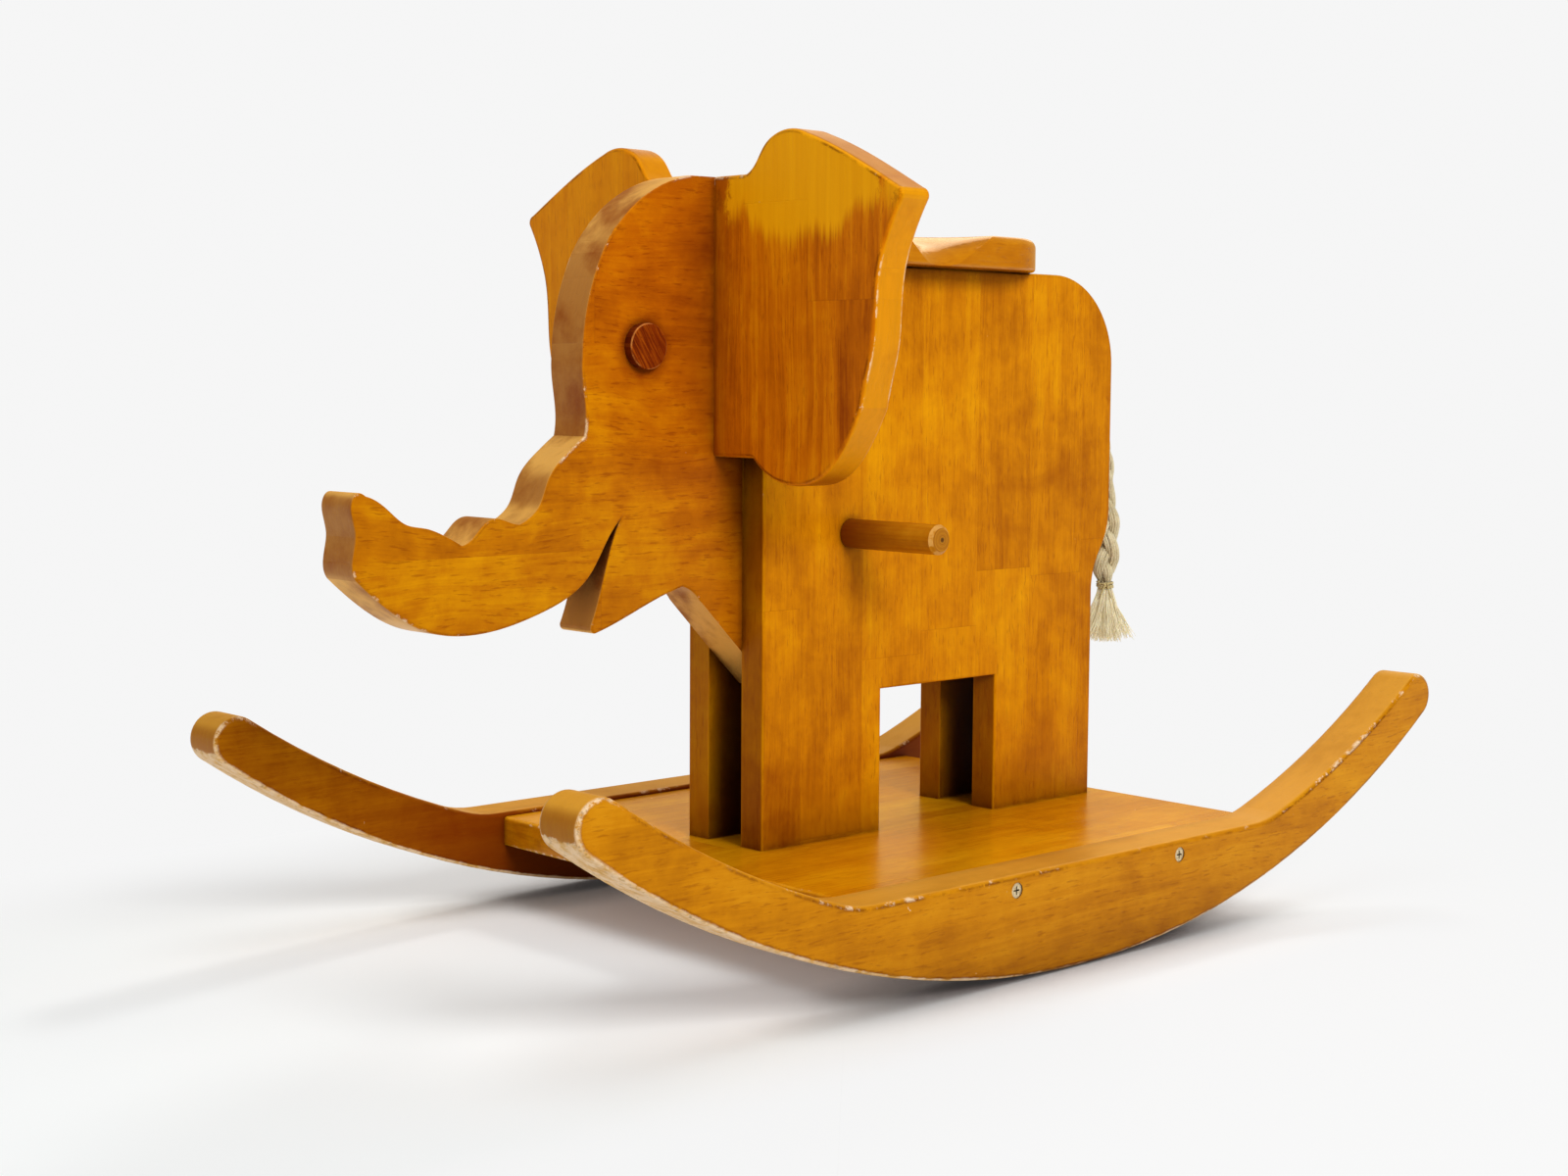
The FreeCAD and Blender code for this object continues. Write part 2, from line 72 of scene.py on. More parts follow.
# Colours as linear red, green, blue
UMBER = (0.095, 0.009, 0.001)
BARE = (0.62, 0.33, 0.07)
PALE_BARE = (0.78, 0.56, 0.34)
GRIME = (0.20, 0.11, 0.04)
END_GRAIN = (0.22, 0.038, 0.001)
WARM_SHINE = (1.0, 0.48, 0.03)
RAW_SHINE = (1.0, 0.8, 0.6)
RED_SHADE = (0.14, 0.010, 0.001)
DEEP_SHADE = (0.012, 0.0005, 0.0003)
EYE_DARK = (0.055, 0.004, 0.001)
CORD = (0.80, 0.70, 0.44)
CORD_SHADE = (0.50, 0.40, 0.19)

# The studio: seen directly, as fill light and in the varnish's reflections
STUDIO_WHITE = (0.92, 0.92, 0.92)
STUDIO_FILL = (0.32, 0.32, 0.32)
STUDIO_MIRROR = (0.78, 0.50, 0.20)

# The floor takes shadows round this point, and fades to the studio's white between these distances from it
SHADOW_MIDDLE = 0.12
SHADOW_SHARE = 0.86
FLOOR_FADE_FROM, FLOOR_FADE_TO = 0.50, 0.95
FLOOR_HALF = 30.0
FLOOR_DROP = 0.4 * MM

# The camera that the photograph's edges lead to
CAMERA_AT = (1.00587, 1.02239, 0.33822)
CAMERA_YAW, CAMERA_PITCH, CAMERA_ROLL = (math.radians(v) for v in (-132.807, -5.162, 0.3535))
CAMERA_LENS_MM, CAMERA_SENSOR_MM, CAMERA_FAR = 51.98, 36.0, 100.0


# ---------------------------------------------------------------- shader short-hand


class Shader:
    """One material and the few node calls that its recipe is written in."""

    def __init__(self, name):
        self.material = bpy.data.materials.new(name)
        self.material.use_nodes = True
        self.tree = self.material.node_tree
        self.tree.nodes.clear()
        self.place = self.node("TexCoord").outputs["Object"]

    def node(self, kind, inputs=(), **settings):
        made = self.tree.nodes.new("ShaderNode" + kind)
        for key, value in settings.items():
            setattr(made, key, value)
        for key, value in dict(inputs).items():
            self.feed(made.inputs[key], value)
        return made

    def feed(self, socket, value):
        if isinstance(value, bpy.types.NodeSocket):
            self.tree.links.new(value, socket)
        elif isinstance(value, tuple) and len(value) == 3 and socket.type == "RGBA":
            socket.default_value = (*value, 1.0)
        else:
            socket.default_value = value

    def math(self, operation, a, b=0.0, clamp=False):
        return self.node("Math", {0: a, 1: b}, operation=operation, use_clamp=clamp).outputs[0]

    def add(self, first, *others):
        for other in others:
            first = self.math("ADD", first, other)
        return first

    def times(self, first, *others):
        for other in others:
            first = self.math("MULTIPLY", first, other)
        return first

    def less(self, a, b):
        return self.math("SUBTRACT", a, b)

    def size(self, a):
        return self.math("ABSOLUTE", a)

    def swing(self, value, amount):
        """A 0 to 1 value turned into one of up to half the amount either side of zero."""
        return self.times(self.less(value, 0.5), amount)

    def step(self, value, low, high, to_low=0.0, to_high=1.0):
        """Smooth ramp of value from low..high to to_low..to_high."""
        inputs = {"Value": value, "From Min": low, "From Max": high, "To Min": to_low, "To Max": to_high}
        return self.node("MapRange", inputs, interpolation_type="SMOOTHSTEP").outputs[0]

    def mix(self, share, a, b, blend="MIX"):
        made = self.node("Mix", data_type="RGBA", blend_type=blend)
        self.feed(made.inputs[0], share)
        self.feed(made.inputs[6], a)
        self.feed(made.inputs[7], b)
        return made.outputs[2]

    def ramp(self, value, low, middle, high):
        """Colour running from low through middle to high as value goes from 0 to 1."""
        made = self.node("ValToRGB", {"Fac": value})
        ends = made.color_ramp.elements
        ends[0].color = (*low, 1.0)
        ends[1].color = (*high, 1.0)
        ends.new(0.5).color = (*middle, 1.0)
        return made.outputs[0]

    def vector(self, x, y, z):
        return self.node("CombineXYZ", {0: x, 1: y, 2: z}).outputs[0]

    def split(self, vector):
        return self.node("SeparateXYZ", {0: vector}).outputs

    def noise(self, vector, scale=1.0, detail=3.0, rough=0.55, twist=0.0):
        inputs = {"Vector": vector, "Scale": scale, "Detail": detail, "Roughness": rough, "Distortion": twist}
        return self.node("TexNoise", inputs).outputs["Fac"]

    def chance(self, vector):
        return self.node("TexWhiteNoise", {"Vector": vector}, noise_dimensions="3D").outputs["Value"]

    def local(self, vector):
        """A world direction in the object's own axes."""
        settings = {"vector_type": "NORMAL", "convert_from": "WORLD", "convert_to": "OBJECT"}
        return self.node("VectorTransform", {0: vector}, **settings).outputs[0]

    def facing(self):
        return self.split(self.local(self.node("NewGeometry").outputs["Normal"]))

    def crevice(self, distance, clear=0.9, deep=0.35):
        """1 in the corners that other surfaces close in within the distance, 0 in the open."""
        open_share = self.node("AmbientOcclusion", {"Distance": distance}, samples=3).outputs["AO"]
        return self.step(open_share, deep, clear, 1.0, 0.0)

    def bump(self, height, strength, distance):
        return self.node("Bump", {"Strength": strength, "Distance": distance, "Height": height}).outputs[0]

    def finish(self, **inputs):
        """Principled surface with the given inputs, and the finished material."""
        surface = self.node("BsdfPrincipled", {key.replace("_", " "): value for key, value in inputs.items()})
        out = self.node("OutputMaterial")
        self.tree.links.new(surface.outputs[0], out.inputs[0])
        return self.material


# ---------------------------------------------------------------- wood


GLUE_LINE_HALF = 0.45 * MM
CORNER_REACH = 4.5 * MM
RECESS_REACH = 80 * MM


class Timber:
    """Node values for one board: its coordinates along the grain, its glued staves and its figure."""

    def __init__(self, shader, grain, across, thick, stave, board, seed, curl):
        s = self.shader = shader
        self.grain, self.across, self.thick = grain, across, thick
        self.position = s.split(s.place)
        u, v, w = (self.position[axis] for axis in (grain, across, thick))
        self.tone = self.tone_2 = 0.5
        self.seam = 0.0
        if stave:
            row = s.times(s.add(v, seed * 0.0137 + 3.0), 1 / stave)
            row_number = s.math("FLOOR", row)
            start = s.chance(s.vector(row_number, seed, 1.5))
            column = s.add(s.times(s.add(u, 3.0), 1 / board), s.times(start, 7.0))
            column_number = s.math("FLOOR", column)
            self.tone = s.chance(s.vector(row_number, column_number, seed))
            self.tone_2 = s.chance(s.vector(column_number, row_number, seed + 4.0))
            glue = self.line(row, stave, GLUE_LINE_HALF)
            butt = self.line(column, board, GLUE_LINE_HALF)
            self.seam = s.math("MAXIMUM", s.times(glue, 0.5), butt)
        self.u = s.add(u, s.times(self.tone, 9.0))
        self.v = s.add(v, s.times(self.tone_2, 5.0))
        self.w = s.add(w, s.times(self.tone, 3.0))
        bend = s.noise(s.vector(s.times(self.u, 5.0), s.times(self.v, 9.0), s.times(self.w, 9.0)), detail=2.0)
        self.v = s.add(self.v, s.swing(bend, 0.03 * curl))
        self.streaks = self.figure(5.0, 150.0, detail=5.0, rough=0.62, twist=0.2)
        self.fine = self.figure(22.0, 480.0, detail=3.0, rough=0.65)
        self.rings = self.figure(1.8, 34.0, detail=3.0, rough=0.5, twist=0.6)
        self.flecks = s.step(self.figure(95.0, 620.0, detail=2.0), 0.57, 0.70)
        self.smear = self.figure(7.0, 30.0, detail=5.0, rough=0.68)

    def line(self, cells, width, half):
        """1 on the borders between cells of the given width, on a line reaching half to either side."""
        s = self.shader
        edge = s.size(s.less(s.math("FRACT", cells), 0.5))
        return s.step(edge, 0.5 - half / width, 0.5 - half / width * 0.3)

    def figure(self, along, sideways, **settings):
        s = self.shader
        stretched = s.vector(s.times(self.u, along), s.times(self.v, sideways), s.times(self.w, sideways))
        return s.noise(stretched, **settings)


def rubbed_edges(s, timber, thick, facing, corner, chew, patchy, wear, reach, worn):
    """How square on the smoothed normal is to the board, the band beside its edges, and what is bare wood."""
    soft = s.node("Bevel", {"Radius": s.times(s.add(0.4, patchy), reach)}, samples=4).outputs[0]
    lean = s.size(s.split(s.local(soft))[thick])
    band = s.times(s.step(lean, 0.12, 0.45), s.step(lean, 0.86, 0.985, 1.0, 0.0))
    ragged = s.add(s.times(chew, 0.55), s.times(patchy, 0.45))
    limit = 0.66 - 0.28 * wear
    extra = worn(s, timber, facing) if worn is not None else 0.0
    bare = s.times(band, s.step(s.add(ragged, s.times(extra, 0.34)), limit, limit + 0.06))
    bare = s.math("MAXIMUM", bare, s.step(s.add(ragged, s.times(extra, 0.52)), 0.86, 0.93))
    specks = s.step(s.noise(s.place, scale=210.0, detail=2.0), 0.765, 0.79)
    nicks = s.times(specks, s.step(patchy, 0.5, 0.62))
    bare = s.times(s.math("MAXIMUM", bare, s.times(nicks, 0.8)), s.less(1.0, corner))
    return lean, band, bare


def raw_wood(s, chew):
    """Bare wood that has taken up dirt."""
    raw = s.mix(s.step(chew, 0.32, 0.60), BARE, PALE_BARE)
    dirt = s.step(s.noise(s.place, scale=260.0, detail=4.0, rough=0.7), 0.54, 0.68)
    return s.mix(s.times(dirt, 0.55), raw, GRIME)


def wood(name, grain, across, thick, low, middle, high, stave=0.045, board=0.62, seed=0.0, depth=1.0,
         blotch=1.0, tones=0.20, lines=0.60, flecks=0.34, curl=0.4, level=0.52, patch=None, wear=0.5,
         reach=0.0018, worn=None, burn=0.34, side_shade=0.0, painted_side_colour=UMBER, side_patches=0.5,
         recess=0.0, gloss=0.36, shine=0.16):
    """Stained and varnished hardwood. grain, across and thick are the board's axes, 0 to 2.

    low, middle and high are the colours of the figure, and level is where its average lies between them.
    stave is the width of the glued strips, board the length between their butt joints, and tones how much
    they differ. depth scales the grain's contrast, lines its streaks, flecks its short dark marks, curl how
    far it wanders, and blotch the clouds of stain. patch(shader, timber, colour) repaints part of a board.

    wear is the share of the edges that is rubbed bare, reach the band's width, worn(shader, timber, facing)
    adds bare places, and burn is the strength of the dark line beside the band. side_shade is how far the
    board's sides are painted towards painted_side_colour: painted light and shade for how the light falls on
    them, on the panels partly their darker stain. side_patches is how dark the patches on them are. recess is
    how strongly the board is darkened with painted shade where other boards close it in. gloss is the
    varnish's roughness, shine its reflection.
    """
    s = Shader(name)
    timber = Timber(s, grain, across, thick, stave, board, seed, curl)
    cloud = s.noise(s.place, scale=9.0 + seed * 0.21, detail=4.0, rough=0.6, twist=0.5)
    mottle = s.noise(s.place, scale=52.0, detail=5.0, rough=0.68, twist=0.3)

    shade = s.add(level, s.swing(timber.streaks, lines * depth), s.swing(timber.fine, 0.50 * depth),
                  s.swing(timber.rings, 0.36 * depth), s.swing(timber.smear, 0.80),
                  s.swing(cloud, 0.72 * blotch), s.swing(mottle, 0.50 * blotch), s.swing(timber.tone, tones))
    colour = s.ramp(shade, low, middle, high)
    colour = s.mix(s.times(timber.flecks, flecks), colour, low)
    stain = s.noise(s.place, scale=6.3 + seed * 0.07, detail=5.0, rough=0.7, twist=1.0)
    colour = s.mix(s.times(s.step(stain, 0.54, 0.72), 0.34 * blotch), colour, low)
    colour = s.mix(s.times(timber.seam, 0.12), colour, UMBER)
    if patch is not None:
        colour = patch(s, timber, colour)

    # Sides of the board painted lighter or darker as painted light and shade, and end grain on the faces
    # square to the grain
    facing = s.facing()
    side = s.step(s.size(facing[thick]), 0.25, 0.7, side_shade, 0.0)
    side_dark = s.times(s.step(s.add(cloud, s.swing(timber.smear, 0.5)), 0.46, 0.70), side_patches)
    painted_side_tone = s.mix(side_dark, painted_side_colour, low)
    colour = s.mix(side, colour, painted_side_tone)
    end_face = s.step(s.size(facing[grain]), 0.70, 0.97)
    rings = s.noise(s.vector(s.times(timber.v, 60.0), s.times(timber.w, 420.0), timber.u), detail=3.0)
    end_colour = s.mix(s.step(rings, 0.35, 0.65), END_GRAIN, low)
    colour = s.mix(s.times(end_face, 0.62), colour, end_colour)

    # Dirt and thick varnish in the corners between boards, and painted shade where other boards close the
    # board in
    corner = s.crevice(CORNER_REACH)
    colour = s.mix(s.times(corner, 0.82), colour, UMBER)
    # Painted shade: closed-in places are darkened towards RED_SHADE, and towards DEEP_SHADE deepest in, by
    # recess
    if recess:
        closed = s.crevice(RECESS_REACH, 0.76, 0.29)
        colour = s.mix(s.times(closed, recess), colour, s.mix(closed, RED_SHADE, DEEP_SHADE))

    # Rubbed edges: the smoothed normal leaves the board's faces, and noise breaks up the band
    chew = s.noise(s.place, scale=120.0, detail=5.0, rough=0.74)
    patchy = s.noise(s.place, scale=17.0 + seed * 0.1, detail=3.0, rough=0.6)
    lean, band, bare = rubbed_edges(s, timber, thick, facing, corner, chew, patchy, wear, reach, worn)
    thin = s.times(band, 0.32, s.step(patchy, 0.36, 0.6))
    colour = s.mix(thin, colour, high)
    beside = s.times(s.step(lean, 0.74, 0.93), s.step(lean, 0.975, 0.9997, 1.0, 0.0))
    burnt = s.times(beside, s.step(patchy, 0.40, 0.56))
    colour = s.mix(s.times(burnt, burn, s.step(chew, 0.36, 0.52)), colour, UMBER)
    colour = s.mix(bare, colour, raw_wood(s, chew))

    roughness = s.add(gloss, s.swing(cloud, 0.14), s.swing(timber.smear, 0.12), s.times(bare, 0.3))
    raised = s.add(s.times(timber.fine, 0.45), s.times(timber.streaks, 0.55), s.times(mottle, 0.35))
    rubbed = s.times(bare, s.add(0.5, s.times(chew, 1.3)))
    height = s.less(raised, s.add(s.times(timber.flecks, 0.45), s.times(timber.seam, 0.7), rubbed))
    return s.finish(Base_Color=colour, Roughness=roughness, Normal=s.bump(height, 0.32, 0.00032), IOR=1.48,
                    Specular_IOR_Level=s.times(shine, s.less(1.0, s.times(bare, 0.6))),
                    Specular_Tint=s.mix(bare, WARM_SHINE, RAW_SHINE))


FADED_DEPTH = 60 * MM


def faded_ear_top(s, timber, colour):
    """The upper part of the left ear's front, rubbed lighter down to a streaky line."""
    low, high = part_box("ear_left")
    x, y, z = timber.position
    front = s.step(x, low.x + 0.002, low.x + 0.008)
    strands = s.noise(s.vector(s.times(y, 520.0), s.times(z, 11.0), 0.0), detail=3.0, rough=0.6)
    broad = s.noise(s.vector(s.times(y, 70.0), s.times(z, 6.0), 4.0), detail=3.0)
    scuff = s.noise(s.vector(s.times(y, 120.0), s.times(z, 85.0), 1.0), detail=5.0, rough=0.75)
    rim = s.size(s.less(y, (low.y + high.y) / 2 - 0.004))
    sag = s.step(rim, 0.022, 0.050, 0.0, 0.016)
    over_line = s.less(z, high.z - FADED_DEPTH)
    level = s.add(over_line, s.swing(strands, 0.022), s.swing(broad, 0.022), s.times(sag, -1.0))
    above = s.step(level, -0.007, 0.007)
    right = s.add(s.less(high.y - 0.013, y), s.swing(scuff, 0.034))
    left = s.add(s.less(y, low.y + 0.008), s.swing(scuff, 0.034))
    inside = s.times(s.step(right, 0.0, 0.007), s.step(left, 0.0, 0.007))
    outer = s.step(s.add(s.less(y, high.y - 0.016), s.swing(scuff, 0.012)), 0.0, 0.004)
    faded = s.times(above, s.math("MAXIMUM", inside, s.times(outer, 0.7)), front)
    sun = s.mix(s.add(0.5, s.swing(timber.streaks, 1.0)), (0.70, 0.26, 0.001), (0.90, 0.42, 0.003))
    brown = s.times(above, s.step(scuff, 0.50, 0.60), s.less(1.0, inside), front)
    inner = s.step(s.add(s.less(y, low.y), s.swing(scuff, 0.03)), 0.0, 0.030, 0.45, 0.0)
    colour = s.mix(inner, colour, (0.20, 0.026, 0.001))
    colour = s.mix(s.times(faded, 0.94), colour, sun)
    return s.mix(s.times(brown, 0.62), colour, (0.20, 0.045, 0.001))


def head_tint(s, timber, colour):
    """The head turns golden towards the trunk, and is darker in a ring round the eye dowel."""
    low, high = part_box("eye_dowel")
    middle = (low + high) / 2
    x, _, z = timber.position
    golden = s.step(s.add(s.less(x, middle.x), s.less(middle.z, z)), -0.04, 0.17)
    colour = s.mix(golden, colour, (1.06, 1.42, 1.0), "MULTIPLY")
    across = s.less(x, middle.x)
    down = s.less(z, middle.z - 0.002)
    far = s.math("SQRT", s.add(s.times(across, across), s.times(down, down)))
    wave = s.swing(s.noise(s.place, scale=70.0, detail=3.0), 0.010)
    radius = (high.z - low.z) / 2
    ring = s.step(s.add(far, wave), radius + 0.0005, radius + 0.010, 0.5, 0.0)
    return s.mix(ring, colour, (0.20, 0.020, 0.001))


def rocker_stain_and_shade(s, timber, colour):
    """Dark red stain and painted shade on the rockers' inner faces, where the deck meets them."""
    x, y, _ = timber.position
    low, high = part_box("base_board")
    inner = s.step(s.size(y), high.y + 0.004, high.y + 0.012, 1.0, 0.0)
    middle, half = (low.x + high.x) / 2, (high.x - low.x) / 2
    near = s.step(s.size(s.less(x, middle)), half, half + 0.16, 0.85, 0.25)
    return s.mix(s.times(inner, near), colour, (0.17, 0.022, 0.001))


def rocker_wear(s, timber, facing):
    """Rockers are scuffed bare on the tread and round their tips."""
    x, _, _ = timber.position
    low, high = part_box("rocker_left")
    reach = s.size(s.less(x, (low.x + high.x) / 2))
    tip = s.step(reach, 0.300, 0.375)
    down = s.step(facing[Z], -0.75, -0.15, 1.0, 0.0)
    nose = s.step(s.size(facing[X]), 0.75, 0.98)
    tread = s.times(down, s.step(reach, 0.0, 0.30, 0.30, 1.0))
    return s.add(tread, s.times(tip, 0.35), s.times(nose, 0.10))


def ear_wear(s, timber, facing):
    """The ears' outer sides are rubbed pale low down."""
    _, _, z = timber.position
    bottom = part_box("ear_left")[0].z
    height = s.less(z, bottom)
    lower = s.times(s.step(height, 0.03, 0.07), s.step(height, 0.11, 0.15, 1.0, 0.0))
    outward = s.step(s.size(facing[Y]), 0.7, 0.95)
    return s.times(lower, outward, 0.42)


# ---------------------------------------------------------------- other materials


def dowel_wood(name):
    """A turned peg: grain along Y, its rim rubbed light and rings round the pith on its end."""
    s = Shader(name)
    x, y, z = s.split(s.place)
    low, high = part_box("footrest_peg_left")
    middle = (low + high) / 2
    dx, dz = s.less(x, middle.x - 0.001), s.less(z, middle.z)
    radius = s.math("SQRT", s.add(s.times(dx, dx), s.times(dz, dz)))
    stretched = s.vector(s.times(x, 420.0), s.times(y, 14.0), s.times(z, 420.0))
    lengthwise = s.noise(stretched, detail=4.0, rough=0.6)
    cloud = s.noise(s.place, scale=45.0, detail=4.0, rough=0.65)
    shade = s.add(0.5, s.swing(lengthwise, 0.9), s.swing(cloud, 0.9))
    colour = s.ramp(shade, (0.22, 0.045, 0.001), (0.48, 0.170, 0.003), (0.66, 0.300, 0.010))
    facing = s.facing()
    end = s.step(s.size(facing[Y]), 0.55, 0.9)
    rings = s.noise(s.vector(s.times(radius, 900.0), 0.0, 0.0), detail=2.0)
    face = s.mix(s.step(rings, 0.35, 0.65), (0.28, 0.085, 0.002), (0.44, 0.175, 0.008))
    face = s.mix(s.step(radius, 0.0008, 0.0022, 0.9, 0.0), face, (0.05, 0.015, 0.002))
    colour = s.mix(end, colour, face)
    lean = s.size(facing[Y])
    rim = s.times(s.step(lean, 0.15, 0.5), s.step(lean, 0.85, 0.99, 1.0, 0.0))
    rough_edge = s.step(s.noise(s.place, scale=190.0, detail=4.0), 0.36, 0.56)
    colour = s.mix(s.times(rim, rough_edge, 0.60), colour, (0.66, 0.36, 0.10))
    base = s.step(s.size(y), 0.036, 0.100, 0.85, 0.0)
    colour = s.mix(base, colour, UMBER)
    height = s.add(lengthwise, s.times(rings, 0.3))
    return s.finish(Base_Color=colour, Roughness=s.step(cloud, 0.3, 0.7, 0.34, 0.50), IOR=1.48,
                    Normal=s.bump(height, 0.4, 0.0003), Specular_Tint=WARM_SHINE, Specular_IOR_Level=0.3)


def eye_wood(name):
    """End grain of the large eye dowel, its lines running aslant."""
    s = Shader(name)
    low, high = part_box("eye_dowel")
    middle = (low + high) / 2
    turned = s.node("Mapping", {"Vector": s.place, "Location": tuple(-c for c in middle)}).outputs[0]
    turned = s.node("Mapping", {"Vector": turned, "Rotation": (0.0, math.radians(-32.0), 0.0)}).outputs[0]
    x, _, z = s.split(turned)
    lines = s.noise(s.vector(s.times(x, 760.0), 0.0, s.times(z, 42.0)), detail=4.0, rough=0.65, twist=0.4)
    speck = s.noise(s.place, scale=900.0, detail=2.0)
    colour = s.ramp(s.step(lines, 0.28, 0.72), EYE_DARK, (0.150, 0.015, 0.001), (0.29, 0.055, 0.002))
    colour = s.mix(s.times(s.step(speck, 0.55, 0.72), 0.5), colour, (0.04, 0.004, 0.001))
    lean = s.size(s.facing()[Y])
    # Painted shade: the dowel's side wall is darkened towards EYE_DARK.
    wall_shade = s.step(lean, 0.3, 0.8, 0.55, 0.0)
    colour = s.mix(wall_shade, colour, EYE_DARK)
    rim = s.times(s.step(lean, 0.35, 0.6), s.step(lean, 0.90, 0.99, 1.0, 0.0))
    rim = s.times(rim, s.step(s.noise(s.place, scale=90.0, detail=4.0), 0.44, 0.58))
    colour = s.mix(s.times(rim, 0.55), colour, (0.60, 0.22, 0.05))
    height = s.add(lines, s.times(speck, 0.4))
    return s.finish(Base_Color=colour, Roughness=s.step(lines, 0.2, 0.8, 0.36, 0.5),
                    Normal=s.bump(height, 0.6, 0.0005), Specular_Tint=WARM_SHINE, Specular_IOR_Level=0.3)


def plain_beech(name):
    """Unfinished dowel pins inside the joints."""
    s = Shader(name)
    grain = s.noise(s.place, scale=240.0, detail=4.0, rough=0.6)
    flecks = s.noise(s.place, scale=900.0, detail=2.0)
    colour = s.mix(grain, (0.52, 0.33, 0.15), (0.74, 0.54, 0.30))
    colour = s.mix(s.times(s.step(flecks, 0.6, 0.7), 0.4), colour, (0.30, 0.16, 0.06))
    return s.finish(Base_Color=colour, Roughness=s.step(grain, 0.3, 0.7, 0.5, 0.7),
                    Normal=s.bump(grain, 0.4, 0.0003))


def zinc(name):
    """Yellow-plated screws, dulled, with dirt in the recess."""
    s = Shader(name)
    stain = s.noise(s.place, scale=700.0, detail=4.0, rough=0.7)
    scratch = s.noise(s.node("Mapping", {"Vector": s.place, "Scale": (900.0, 900.0, 5200.0)}).outputs[0])
    colour = s.mix(s.step(stain, 0.35, 0.7), (0.80, 0.68, 0.44), (0.42, 0.31, 0.16))
    colour = s.mix(s.times(s.crevice(0.0012), 0.9), colour, (0.02, 0.012, 0.006))
    return s.finish(Base_Color=colour, Metallic=0.9, Roughness=s.step(stain, 0.3, 0.7, 0.26, 0.46),
                    Normal=s.bump(scratch, 0.3, 0.0001))


def cord(name, light=CORD, dark=CORD_SHADE, deep=0.8, glow=0.15, lift=0.0):
    """Natural fibre: fine lines along each strand from the mesh's own UV map, V running along it."""
    s = Shader(name)
    u, v, _ = s.split(s.node("TexCoord").outputs["UV"])
    fibres = s.noise(s.vector(s.times(u, 34.0), s.times(v, 260.0), 0.0), detail=4.0, rough=0.7, twist=0.3)
    hairs = s.noise(s.vector(s.times(u, 110.0), s.times(v, 420.0), 3.0), detail=2.0)
    cloud = s.noise(s.place, scale=130.0)
    shade = s.add(s.times(fibres, 0.7), s.times(hairs, 0.3), s.swing(cloud, 0.5))
    colour = s.mix(s.step(shade, 0.28, 0.62), dark, light)
    # Painted shade: the crevices between strands are darkened, by deep.
    colour = s.mix(s.times(s.crevice(0.005, 0.80, 0.20), deep), colour, (0.20, 0.13, 0.035))
    height = s.add(fibres, s.times(hairs, 0.5))
    # lift makes the fibre glow in its own colour: painted light.
    return s.finish(Base_Color=colour, Roughness=s.step(fibres, 0.2, 0.8, 0.78, 0.95),
                    Normal=s.bump(height, 0.7, 0.0006), Sheen_Weight=0.35, Sheen_Roughness=0.5,
                    Emission_Color=colour, Emission_Strength=lift,
                    Specular_IOR_Level=0.2, Subsurface_Weight=glow, Subsurface_Radius=(0.008, 0.006, 0.003))


def floor_white(name):
    """Pale floor that takes shadows near the toy, with a painted contact shadow where the toy stands on it,
    and fades into the even white of the studio.
    """
    s = Shader(name)
    cloud = s.noise(s.place, scale=2.0)
    colour = s.mix(cloud, (0.885, 0.910, 0.915), (0.91, 0.935, 0.94))
    # Painted shadow: darkened towards dark brown where the toy closes the floor in, which also keeps the even
    # white off there
    contact_shadow = s.crevice(0.045, 0.80, 0.25)
    colour = s.mix(s.times(contact_shadow, 0.92), colour, (0.06, 0.022, 0.013))
    matt = s.node("BsdfDiffuse", {"Color": colour}).outputs[0]
    even = s.node("Emission", {"Color": STUDIO_WHITE}).outputs[0]
    x, y, _ = s.split(s.place)
    from_x, from_y = s.less(x, SHADOW_MIDDLE), s.less(y, SHADOW_MIDDLE)
    far = s.math("SQRT", s.add(s.times(from_x, from_x), s.times(from_y, from_y)))
    share = s.step(far, FLOOR_FADE_FROM, FLOOR_FADE_TO, 1.0 - SHADOW_SHARE, 1.0)
    beyond = s.step(y, -0.46, -0.20, 1.0, 0.0)
    behind = s.step(x, -0.34, -0.04, 0.85, 0.0)
    camera_side = s.step(y, 0.19, 0.27, 0.0, 0.85)
    for clear in (beyond, behind, camera_side):
        share = s.math("MAXIMUM", share, clear)
    share = s.times(share, s.less(1.0, s.times(contact_shadow, 0.8)))
    both = s.node("MixShader", {0: share, 1: matt, 2: even}).outputs[0]
    s.node("OutputMaterial", {0: both})
    return s.material


# ---------------------------------------------------------------- finishes on the CAD nodes

# side_shade and painted_side_colour paint light and shade on the boards' sides; recess paints shade where
# boards close each other in
PANEL = dict(low=(0.25, 0.050, 0.001), middle=(0.56, 0.190, 0.001), high=(0.80, 0.360, 0.001), stave=0.052,
             board=0.30, depth=0.75, blotch=1.15, tones=0.26, lines=0.36, wear=0.18, side_shade=0.40,
             recess=1.0, shine=0.06)
ROCKER = dict(low=(0.24, 0.060, 0.001), middle=(0.50, 0.180, 0.002), high=(0.68, 0.300, 0.008), stave=None,
              depth=0.75, wear=0.42, reach=0.0022, worn=rocker_wear, patch=rocker_stain_and_shade, flecks=0.42,
              burn=0.90, recess=0.6, side_shade=0.75, painted_side_colour=(0.74, 0.360, 0.040), side_patches=0.35,
              shine=0.09)
EAR = dict(stave=0.055, board=0.30, reach=0.0018, worn=ear_wear, tones=0.08, side_shade=0.70,
           painted_side_colour=(0.66, 0.270, 0.002), burn=0.75)

